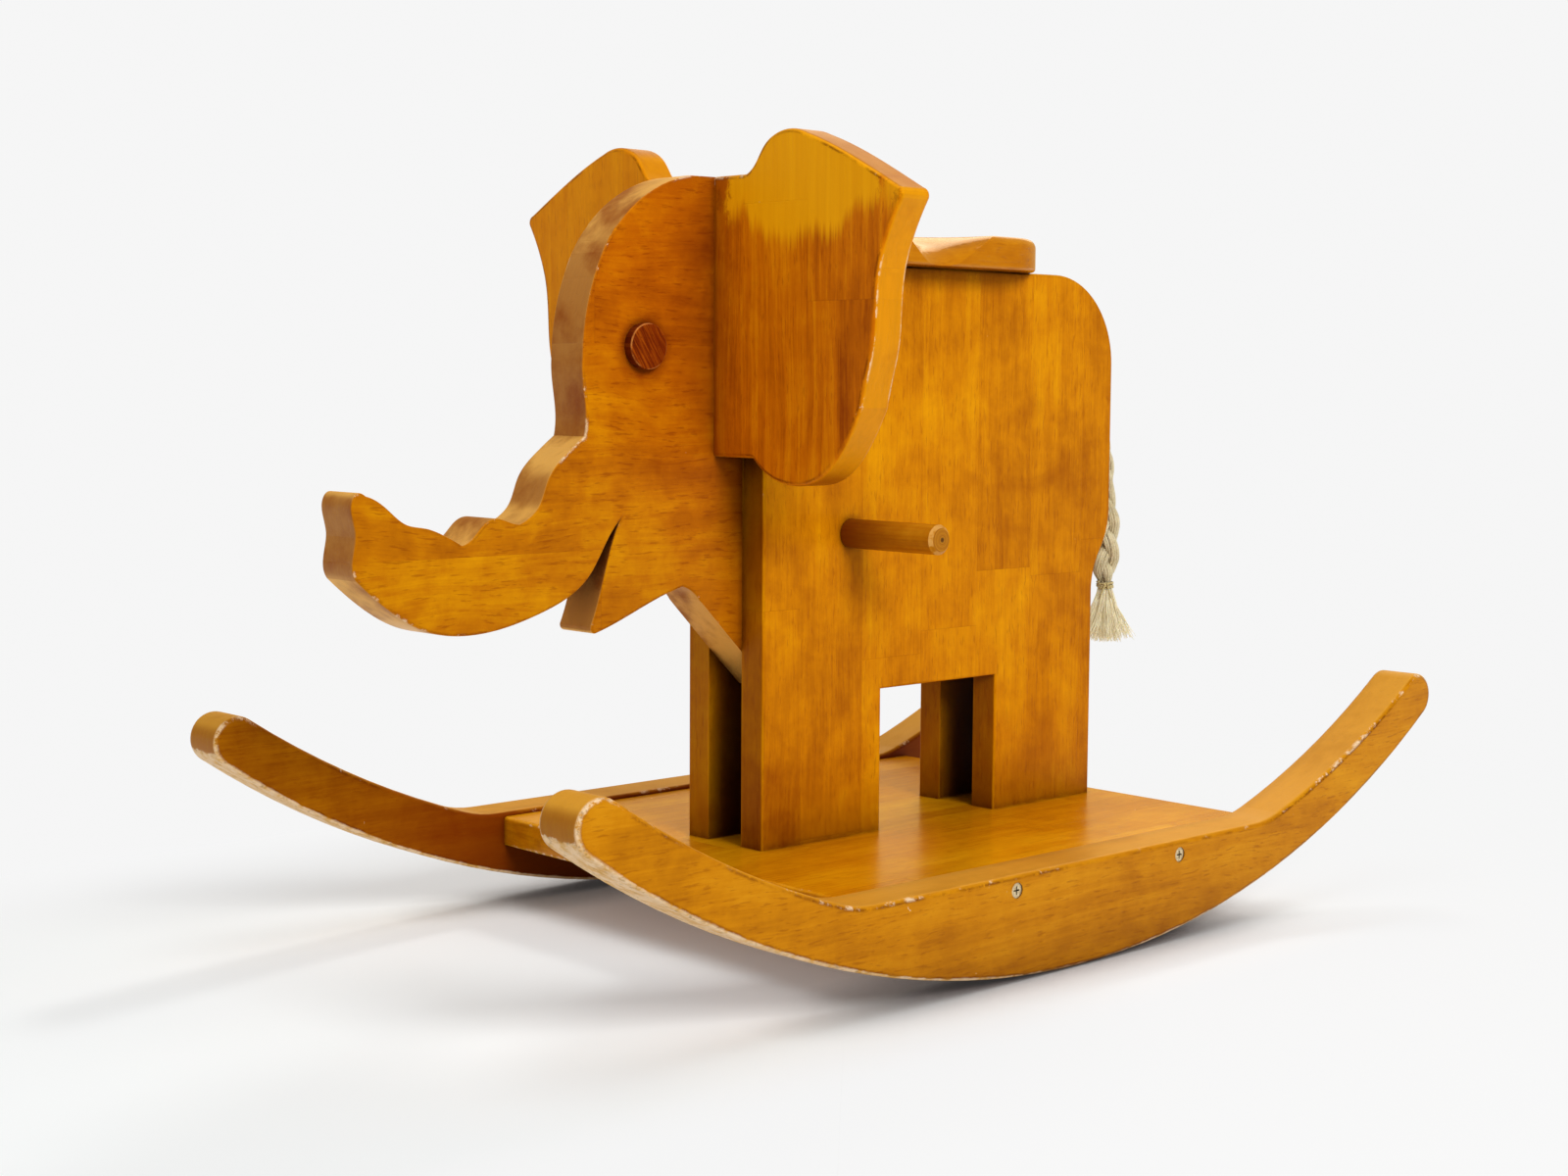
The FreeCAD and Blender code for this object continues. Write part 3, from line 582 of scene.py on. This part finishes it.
FINISHES = {
    "rocker_left": lambda: wood("rocker_wood_left", X, Z, Y, seed=1.0, **ROCKER),
    # The far rocker's figure is set darker than the near one's: painted shade on the inner face that is seen.
    "rocker_right": lambda: wood("rocker_wood_right", X, Z, Y, seed=5.0, level=0.22, **ROCKER),
    "base_board": lambda: wood("deck_wood", X, Y, Z, (0.42, 0.115, 0.001), (0.66, 0.240, 0.001),
                               (0.84, 0.390, 0.004), stave=0.043, board=0.24, seed=3.0, wear=0.50, gloss=0.20,
                               shine=0.50, recess=0.20, tones=0.36),
    "body_panel_left": lambda: wood("panel_wood_left", Z, X, Y, seed=7.0, **PANEL),
    "body_panel_right": lambda: wood("panel_wood_right", Z, X, Y, seed=11.0, **PANEL),
    "head_board": lambda: wood("head_wood", X, Z, Y, (0.19, 0.024, 0.001), (0.42, 0.098, 0.001),
                               (0.64, 0.210, 0.001), stave=0.058, board=0.9, seed=13.0, depth=0.75,
                               blotch=1.35,
                               tones=0.06, lines=0.40, flecks=0.45, curl=1.0, patch=head_tint, wear=0.42,
                               reach=0.0020, burn=0.6, recess=0.8, side_shade=0.80, side_patches=0.9,
                               painted_side_colour=(0.82, 0.450, 0.100)),
    "rump_spacer": lambda: wood("spacer_wood", Z, X, Y, seed=17.0, **PANEL),
    "ear_left": lambda: wood("ear_wood_left", Z, Y, X, (0.23, 0.034, 0.001), (0.54, 0.135, 0.001),
                             (0.80, 0.290, 0.002), seed=19.0, wear=0.20, depth=1.2, blotch=0.8, lines=0.75,
                             patch=faded_ear_top, **EAR),
    "ear_right": lambda: wood("ear_wood_right", Z, Y, X, (0.38, 0.095, 0.001), (0.62, 0.195, 0.001),
                              (0.78, 0.300, 0.002), seed=23.0, wear=0.30, depth=0.8, **EAR),
    "seat": lambda: wood("seat_wood", X, Y, Z, (0.25, 0.060, 0.001), (0.43, 0.135, 0.001),
                         (0.58, 0.230, 0.004), stave=None, seed=29.0, wear=0.10, depth=0.7, gloss=0.16,
                         shine=0.8),
    "eye_dowel": lambda: eye_wood("eye_wood"),
}
SHARED_FINISHES = (
    (dowel_wood("peg_wood"), ("footrest_peg_left", "footrest_peg_right")),
    (zinc("screw_zinc"), ("rocker_screws_left", "rocker_screws_right", "leg_screws")),
    (plain_beech("pin_beech"), ("ear_pins_left", "ear_pins_right", "seat_pins", "neck_pins", "spacer_pins")),
)


def assign(node_name, material):
    target = frame["nodes"][node_name]
    target.data.materials.clear()
    target.data.materials.append(material)


for node_name, make in FINISHES.items():
    assign(node_name, make())
for shared, members in SHARED_FINISHES:
    for node_name in members:
        assign(node_name, shared)


# ---------------------------------------------------------------- tail


def tube(centres, radii, sides=8):
    """Mesh tube through centres: its corner points, its faces, and each face's place (ring, side)."""
    points = [Vector(c) for c in centres]
    last = len(points) - 1
    corners, faces, places = [], [], []
    side = None
    for i, point in enumerate(points):
        along = (points[min(i + 1, last)] - points[max(i - 1, 0)]).normalized()
        side = along.orthogonal() if side is None else side
        side = (side - along * side.dot(along)).normalized()
        up = along.cross(side)
        for k in range(sides):
            angle = 2 * math.pi * k / sides
            corners.append(point + (side * math.cos(angle) + up * math.sin(angle)) * radii[i])
    for i in range(last):
        for k in range(sides):
            a, b = i * sides + k, i * sides + (k + 1) % sides
            faces.append((a, b, b + sides, a + sides))
            places.append((i, k))
    corners += [points[0], points[-1]]
    top = last * sides
    for k in range(sides):
        faces.append((len(corners) - 2, (k + 1) % sides, k))
        faces.append((len(corners) - 1, top + k, top + (k + 1) % sides))
        places += [(0, k), (last, k)]
    return corners, faces, places, sides, last + 1


class Bundle:
    """Several tubes gathered into one mesh object."""

    def __init__(self):
        self.corners, self.faces, self.uv = [], [], []

    def add(self, made, length, spin=0.0):
        corners, faces, places, sides, count = made
        base = len(self.corners)
        self.corners += corners
        for face, (i, k) in zip(faces, places):
            self.faces.append([base + n for n in face])
            v0, v1 = i / count * length, (i + 1) / count * length
            u0, u1 = k / sides + spin, (k + 1) / sides + spin
            self.uv.append([(u0, v0), (u1, v0), (u1, v1), (u0, v1)][: len(face)])

    def build(self, name, material):
        mesh = bpy.data.meshes.new(name)
        mesh.from_pydata([tuple(c) for c in self.corners], [], self.faces)
        layer = mesh.uv_layers.new(name="UVMap")
        flat = [corner for face in self.uv for corner in face]
        for loop, corner in zip(layer.data, flat):
            loop.uv = corner
        mesh.polygons.foreach_set("use_smooth", [True] * len(mesh.polygons))
        mesh.materials.append(material)
        made = bpy.data.objects.new(name, mesh)
        bpy.context.scene.collection.objects.link(made)
        return made


STUB_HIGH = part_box("tail_stub")[1]
UPPER_LOW, UPPER_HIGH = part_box("tail_braid_upper")
TIE_LOW, TIE_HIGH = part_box("tail_binding")
FRINGE_LOW, FRINGE_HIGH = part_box("tail_tassel")
PIVOT = {joint["name"]: Vector(joint["pos_m"]) for joint in frame["joints"]}

TAIL_X = (UPPER_LOW.x + UPPER_HIGH.x) / 2
HOLE_Z = PIVOT["tail_swing"].z
BEND_R = 0.030
PATH_STEP = 0.5 * MM


def tail_path():
    """Centre line of the rope from inside the hole, round its bend and down to the binding, in even steps."""
    turn_x = TAIL_X + BEND_R
    top = HOLE_Z - BEND_R
    bottom = TIE_LOW.z + 2 * MM
    points = []
    steps = int((STUB_HIGH.x - turn_x) / PATH_STEP)
    for n in range(steps):
        points.append(Vector((STUB_HIGH.x + (turn_x - STUB_HIGH.x) * n / steps, 0.0, HOLE_Z)))
    steps = int(BEND_R * math.pi / 2 / PATH_STEP)
    for n in range(steps):
        angle = math.pi / 2 * n / steps
        across, down = BEND_R * math.sin(angle), BEND_R * (1 - math.cos(angle))
        points.append(Vector((turn_x - across, 0.0, HOLE_Z - down)))
    steps = int((top - bottom) / PATH_STEP)
    for n in range(steps + 1):
        points.append(Vector((TAIL_X, 0.0, top + (bottom - top) * n / steps)))
    return points


PATH = tail_path()
LAST = len(PATH) - 1
STRAIGHT = STUB_HIGH.x - (TAIL_X + BEND_R)
PLAIT_PITCH = 0.068
PLAIT_START = 0.18
FLAT_TURN = math.radians(46.0)
STRANDS = 3
PLIES = 12
PLY_TWIST_LENGTH = 0.30
HAIR_R = 0.11 * MM
GOLDEN_ANGLE = 2.39996


def bulge(t, *stops):
    """Value at t of a smooth line through (place, value) stops."""
    for (a, low), (b, high) in zip(stops, stops[1:]):
        if t <= b:
            share = max(0.0, (t - a) / (b - a))
            return low + (high - low) * share * share * (3 - 2 * share)
    return stops[-1][1]


# How loose the plait is: along its run from the hole, and by the distance left to the binding
LOOSE_BY_RUN = ((STRAIGHT + 30 * MM, 0.0), (STRAIGHT + 60 * MM, 0.20), (STRAIGHT + 90 * MM, 1.0))
LOOSE_BY_LEFT = ((0.0, 0.0), (5 * MM, 0.12), (15 * MM, 0.85), (22 * MM, 1.0))
TURN_BY_RUN = ((STRAIGHT + 20 * MM, 0.0), (STRAIGHT + 75 * MM, 1.0))

# Strands in millimetres: the value where the plait is tight, and what is added where it is fully loose
SWAY, CROSSING, HALF_WIDTH, HALF_DEPTH = (1.8, 3.7), (1.6, 1.6), (2.3, 2.3), (2.1, 0.9)


def loosened(sizes, loose):
    tight, added = sizes
    return (tight + added * loose) * MM


def plait_point(i, strand):
    """Centre, half width, half depth and broad direction of one strand at the path's i-th point."""
    centre = PATH[i]
    along = (PATH[min(i + 2, LAST)] - PATH[max(i - 2, 0)]).normalized()
    run = i * PATH_STEP
    left = (LAST - i) * PATH_STEP
    loose = bulge(run, *LOOSE_BY_RUN) * bulge(left, *LOOSE_BY_LEFT)
    turn = FLAT_TURN * bulge(run, *TURN_BY_RUN)
    side = Vector((-math.sin(turn), math.cos(turn), 0.0))
    side = (side - along * side.dot(along)).normalized()
    out = along.cross(side)
    phase = 2 * math.pi * (run / PLAIT_PITCH + strand / STRANDS + PLAIT_START)
    sway = loosened(SWAY, loose) * math.sin(phase)
    lift = loosened(CROSSING, loose) * math.sin(2 * phase)
    return centre + side * sway + out * lift, loosened(HALF_WIDTH, loose), loosened(HALF_DEPTH, loose), side


def plait(first, last, name, seed):
    """The part of the plait between two path indices, as one mesh of fine plies laid side by side."""
    rng = random.Random(seed)
    bundle = Bundle()
    stops = list(range(first, last, 4)) + [last]
    for strand in range(STRANDS):
        middles = [plait_point(i, strand) for i in stops]
        bundle.add(tube([m[0] for m in middles], [m[2] * 0.70 for m in middles]), 0.3)
        for ply in range(PLIES):
            wobble = rng.uniform(0, 2 * math.pi)
            thick = rng.uniform(0.85, 1.15)
            centres, radii = [], []
            for i in stops:
                here, wide, deep, side = plait_point(i, strand)
                after = plait_point(min(i + 3, LAST), strand)[0]
                before = plait_point(max(i - 3, 0), strand)[0]
                along = (after - before).normalized()
                across = (side - along * side.dot(along)).normalized()
                up = along.cross(across)
                turns = ply / PLIES + i * PATH_STEP / PLY_TWIST_LENGTH
                angle = 2 * math.pi * turns + 0.10 * math.sin(i * 0.05 + wobble)
                ring = across * math.cos(angle) * wide * 0.76 + up * math.sin(angle) * deep * 0.66
                centres.append(here + ring)
                swell = 1.0 + 0.07 * math.sin(i * 0.09 + wobble)
                radii.append(math.sqrt(wide * deep) * 0.335 * thick * swell)
            bundle.add(tube(centres, radii, sides=7), 0.3, spin=rng.random())
    return bundle.build(name, ROPE)


def stray_hairs(name, count, first, last, seed):
    """Fine hairs standing off the plait."""
    rng = random.Random(seed)
    bundle = Bundle()
    for _ in range(count):
        i = rng.randrange(first, last - 24)
        start, _, deep, _ = plait_point(i, rng.randrange(STRANDS))
        finish = plait_point(i + 20, rng.randrange(STRANDS))[0]
        lean = Vector((rng.uniform(-1, 1), rng.uniform(-1, 1), rng.uniform(-0.3, 0.3))).normalized()
        centres = []
        for n in range(6):
            bow = math.sin(math.pi * min(1.0, n / 5 * 1.3))
            centres.append(start.lerp(finish, n / 5) + lean * (deep + 1.5 * MM * bow * rng.uniform(0.6, 1.1)))
        bundle.add(tube(centres, [HAIR_R] * 6, sides=4), 0.05)
    return bundle.build(name, FRINGE)


def index_at_height(z):
    """Path index where the hanging part passes height z."""
    return min(range(LAST + 1), key=lambda i: abs(PATH[i].z - z) + (PATH[i].x > TAIL_X + 0.02))


ROPE = cord("rope_fibre")
TWINE = cord("twine_fibre", light=(0.72, 0.58, 0.24), dark=(0.38, 0.27, 0.08), deep=0.9, glow=0.0)
# The tassel's loose fibre is paler than the rope, made paler still as painted light, and lift gives it a
# painted glow.
FRINGE = cord("fringe_fibre", light=(0.96, 0.87, 0.60), dark=(0.74, 0.62, 0.35), deep=0.35, glow=0.45,
              lift=0.22)
LIFT, BEND = PIVOT["tail_lift"], PIVOT["tail_bend"]
SPLIT = index_at_height((LIFT.z + BEND.z) / 2)


def blend_over(piece, pivot, *bodies):
    """Bake the piece's placement into its mesh. The pivot and bodies are not used."""
    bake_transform(piece)


upper_plait = plait(0, SPLIT + 4, "tail_plait_upper", 11)
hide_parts("tail_stub", "tail_braid_upper")
blend_over(upper_plait, LIFT, "tail_root", "tail_upper")
lower_plait = plait(SPLIT, LAST, "tail_plait_lower", 12)
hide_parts("tail_braid_lower")
blend_over(lower_plait, BEND, "tail_upper", "tail_lower")
upper_hairs = stray_hairs("tail_hairs_upper", 40, index_at_height(LIFT.z + 20 * MM), SPLIT, 21)
blend_over(upper_hairs, LIFT, "tail_root", "tail_upper")
lower_hairs = stray_hairs("tail_hairs_lower", 46, SPLIT, LAST, 22)
blend_over(lower_hairs, BEND, "tail_upper", "tail_lower")


def binding_piece():
    """Thin cord wound round the end of the plait, with its knot."""
    bundle = Bundle()
    radius = (TIE_HIGH.x - TIE_LOW.x) / 2 - 0.7 * MM
    middle = (TIE_LOW.z + TIE_HIGH.z) / 2
    turns, steps = 3, 28
    centres = []
    for n in range(turns * steps + 1):
        angle = 2 * math.pi * n / steps
        z = middle + 1.5 * MM * (n / steps - turns / 2) + 0.3 * MM * math.sin(angle * 0.5)
        swell = radius * (1 + 0.05 * math.sin(angle * 3 + 1))
        centres.append(Vector((TAIL_X + swell * math.cos(angle), swell * 0.92 * math.sin(angle), z)))
    for ply in range(2):
        twisted = []
        for n, centre in enumerate(centres):
            spin = n * 0.55 + ply * math.pi
            outward = Vector((centre.x - TAIL_X, centre.y, 0)).normalized()
            offset = outward * math.cos(spin) + Vector((0, 0, math.sin(spin)))
            twisted.append(centre + offset * 0.30 * MM)
        bundle.add(tube(twisted, [0.66 * MM] * len(twisted), sides=6), 0.3)
    outward, sideways = Vector((0.70, 0.71, 0.0)), Vector((-0.71, 0.70, 0.0))
    knot_at = Vector((TAIL_X, 0.0, middle)) + outward * radius
    knot = []
    for n in range(25):
        a = 2 * math.pi * n / 24
        knot.append(knot_at + sideways * 1.5 * MM * math.cos(a) + Vector((0, 0, 1.2 * MM * math.sin(2 * a)))
                    + outward * (0.6 + 0.5 * math.cos(3 * a)) * MM)
    bundle.add(tube(knot, [0.62 * MM] * 25, sides=6), 0.1)
    for lean in (-1, 1):
        loose = []
        for n in range(7):
            t = n / 6
            reach = outward * (0.8 + 0.6 * math.sin(t * 3)) * MM + sideways * lean * (1 + 3 * t) * MM
            loose.append(knot_at + reach + Vector((0, 0, -9 * MM * t)))
        bundle.add(tube(loose, [0.5 * MM] * 6 + [0.3 * MM], sides=6), 0.1)
    return bundle.build("tail_binding_cord", TWINE)


def fringe_piece():
    """Loose tassel fibres, gathered under the binding and flaring to frizzy, uneven ends."""
    rng = random.Random(31)
    bundle = Bundle()
    top_z = FRINGE_HIGH.z + 3.0 * MM
    length = top_z - FRINGE_LOW.z
    flare = (FRINGE_HIGH.x - FRINGE_LOW.x) / 2 * 1.50
    neck = 5.0 * MM
    locks, fibres, segments = 30, 27, 9
    for lock in range(locks):
        share = math.sqrt((lock + 0.5) / locks)
        angle = lock * GOLDEN_ANGLE + rng.uniform(-0.25, 0.25)
        reach = flare * share * rng.uniform(0.72, 1.0)
        wave = rng.uniform(0.6, 1.8) * MM
        phase = rng.uniform(0, 2 * math.pi)
        turn = rng.uniform(-0.35, 0.35)
        for _ in range(fibres):
            loose = Vector((rng.gauss(0, 1), rng.gauss(0, 1), 0.0)) * 0.9 * MM
            frizz = Vector((rng.gauss(0, 1), rng.gauss(0, 1), 0.0)) * 1.5 * MM
            fall = length * rng.uniform(0.84, 1.0) * (1.0 - 0.07 * share * share)
            curl = rng.uniform(0.1, 0.7) * MM
            spin = rng.uniform(0, 2 * math.pi)
            thick = rng.uniform(0.17, 0.34) * MM
            centres, radii = [], []
            for k in range(segments + 1):
                t = k / segments
                spread = neck * share + (reach - neck * share) * (0.45 * t + 0.55 * t ** 1.6)
                a = angle + turn * t
                out = spread + wave * math.sin(phase + t * 6.0) * t
                at = Vector((TAIL_X + out * math.cos(a), out * math.sin(a), top_z - fall * t))
                twirl = Vector((math.cos(spin + t * 11.0), math.sin(spin + t * 11.0), 0.0)) * curl * t
                centres.append(at + loose * min(1.0, 0.35 + t) + frizz * t ** 3 + twirl)
                radii.append(thick * (1.0 - 0.5 * t))
            bundle.add(tube(centres, radii, sides=4), 0.12, spin=rng.random())
    return bundle.build("tail_fringe", FRINGE)


def knot_piece():
    """Overhand knot inside the rump: a thick cord following a trefoil."""
    low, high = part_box("tail_knot")
    middle = (low + high) / 2
    scale = (high.x - low.x) / 2 / 3.9
    bundle = Bundle()
    count = 90
    for ply in range(3):
        centres = []
        for n in range(count + 1):
            a = 2 * math.pi * n / count
            across, up = math.sin(a) + 2 * math.sin(2 * a), math.cos(a) - 2 * math.cos(2 * a)
            base = Vector((math.sin(3 * a) * 0.9, across, up))
            spin = a * 9 + ply * 2 * math.pi / 3
            outward = Vector((0, base.y, base.z)).normalized()
            shift = outward * 0.30 * math.cos(spin) + Vector((0.30 * math.sin(spin), 0, 0))
            centres.append(middle + (base + shift) * scale)
        bundle.add(tube(centres, [0.50 * scale] * (count + 1), sides=7), 0.6)
    lead = [middle + Vector((t * MM, 0, 0)) for t in (-11.5, -8.0, -4.0, 0.0)]
    bundle.add(tube(lead, [3.4 * MM] * 4, sides=10), 0.05)
    return bundle.build("tail_knot_cord", ROPE)


for piece, node_name, body in ((binding_piece(), "tail_binding", "tail_lower"),
                               (fringe_piece(), "tail_tassel", "tail_lower"),
                               (knot_piece(), "tail_knot", "tail_root")):
    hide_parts(node_name)
    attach(piece, body)


# ---------------------------------------------------------------- floor, light, camera

floor_mesh = bpy.data.meshes.new("floor")
floor_corners = [(x * FLOOR_HALF, y * FLOOR_HALF, 0) for x, y in ((-1, -1), (1, -1), (1, 1), (-1, 1))]
floor_mesh.from_pydata(floor_corners, [], [(0, 1, 2, 3)])
floor_mesh.materials.append(floor_white("floor_white"))
floor = bpy.data.objects.new("floor", floor_mesh)
bpy.context.scene.collection.objects.link(floor)
floor.location.z = -FLOOR_DROP


def softbox(name, at, size, power, mirrored=True, tint=(1.0, 1.0, 1.0)):
    """Soft rectangular light aimed at the middle of the toy. Unless mirrored, the varnish doesn't show it."""
    data = bpy.data.lights.new(name, "AREA")
    data.shape = "RECTANGLE"
    data.size, data.size_y = size
    data.energy = power
    data.color = tint
    light = bpy.data.objects.new(name, data)
    light.location = at
    light.visible_glossy = mirrored
    light.rotation_mode = "QUATERNION"
    light.rotation_quaternion = ((CAD_LOW + CAD_HIGH) / 2 - Vector(at)).to_track_quat("-Z", "Y")
    bpy.context.scene.collection.objects.link(light)


softbox("key", at=(0.5, 2.5, 1.7), size=(1.2, 1.0), power=60.0)
softbox("front", at=(2.6, -0.4, 1.7), size=(2.4, 2.0), power=10.0, mirrored=False)
softbox("back", at=(-1.9, -1.3, 2.3), size=(0.45, 0.45), power=20.0, mirrored=False)
softbox("glint", at=(-2.2, -1.7, 1.95), size=(1.7, 1.7), power=13.0, tint=(1.0, 0.84, 0.60))
softbox("top", at=(0.3, 0.2, 2.8), size=(1.6, 1.6), power=14.0)

world = bpy.data.worlds.new("studio")
bpy.context.scene.world = world
world.use_nodes = True
sky = world.node_tree
sky.nodes.clear()
rays = sky.nodes.new("ShaderNodeLightPath")


def plain_sky(colour):
    made = sky.nodes.new("ShaderNodeBackground")
    made.inputs[0].default_value = (*colour, 1.0)
    return made.outputs[0]


def choose(test, otherwise, chosen):
    made = sky.nodes.new("ShaderNodeMixShader")
    for socket, source in zip(made.inputs, (rays.outputs[test], otherwise, chosen)):
        sky.links.new(source, socket)
    return made.outputs[0]


world_out = sky.nodes.new("ShaderNodeOutputWorld")
hidden = choose("Is Glossy Ray", plain_sky(STUDIO_FILL), plain_sky(STUDIO_MIRROR))
sky.links.new(choose("Is Camera Ray", hidden, plain_sky(STUDIO_WHITE)), world_out.inputs[0])
bpy.context.scene.view_settings.view_transform = "Standard"

level = math.cos(CAMERA_PITCH)
look = Vector((math.cos(CAMERA_YAW) * level, math.sin(CAMERA_YAW) * level, math.sin(CAMERA_PITCH)))
camera_data = bpy.data.cameras.new("camera")
camera_data.sensor_width = CAMERA_SENSOR_MM
camera_data.lens = CAMERA_LENS_MM
camera_data.clip_end = CAMERA_FAR
camera = bpy.data.objects.new("camera", camera_data)
bpy.context.scene.collection.objects.link(camera)
camera.location = CAMERA_AT
camera.rotation_mode = "QUATERNION"
camera.rotation_quaternion = look.to_track_quat("-Z", "Y")
camera.rotation_mode = "XYZ"
camera.rotation_euler.rotate_axis("Z", CAMERA_ROLL)
bpy.context.scene.camera = camera
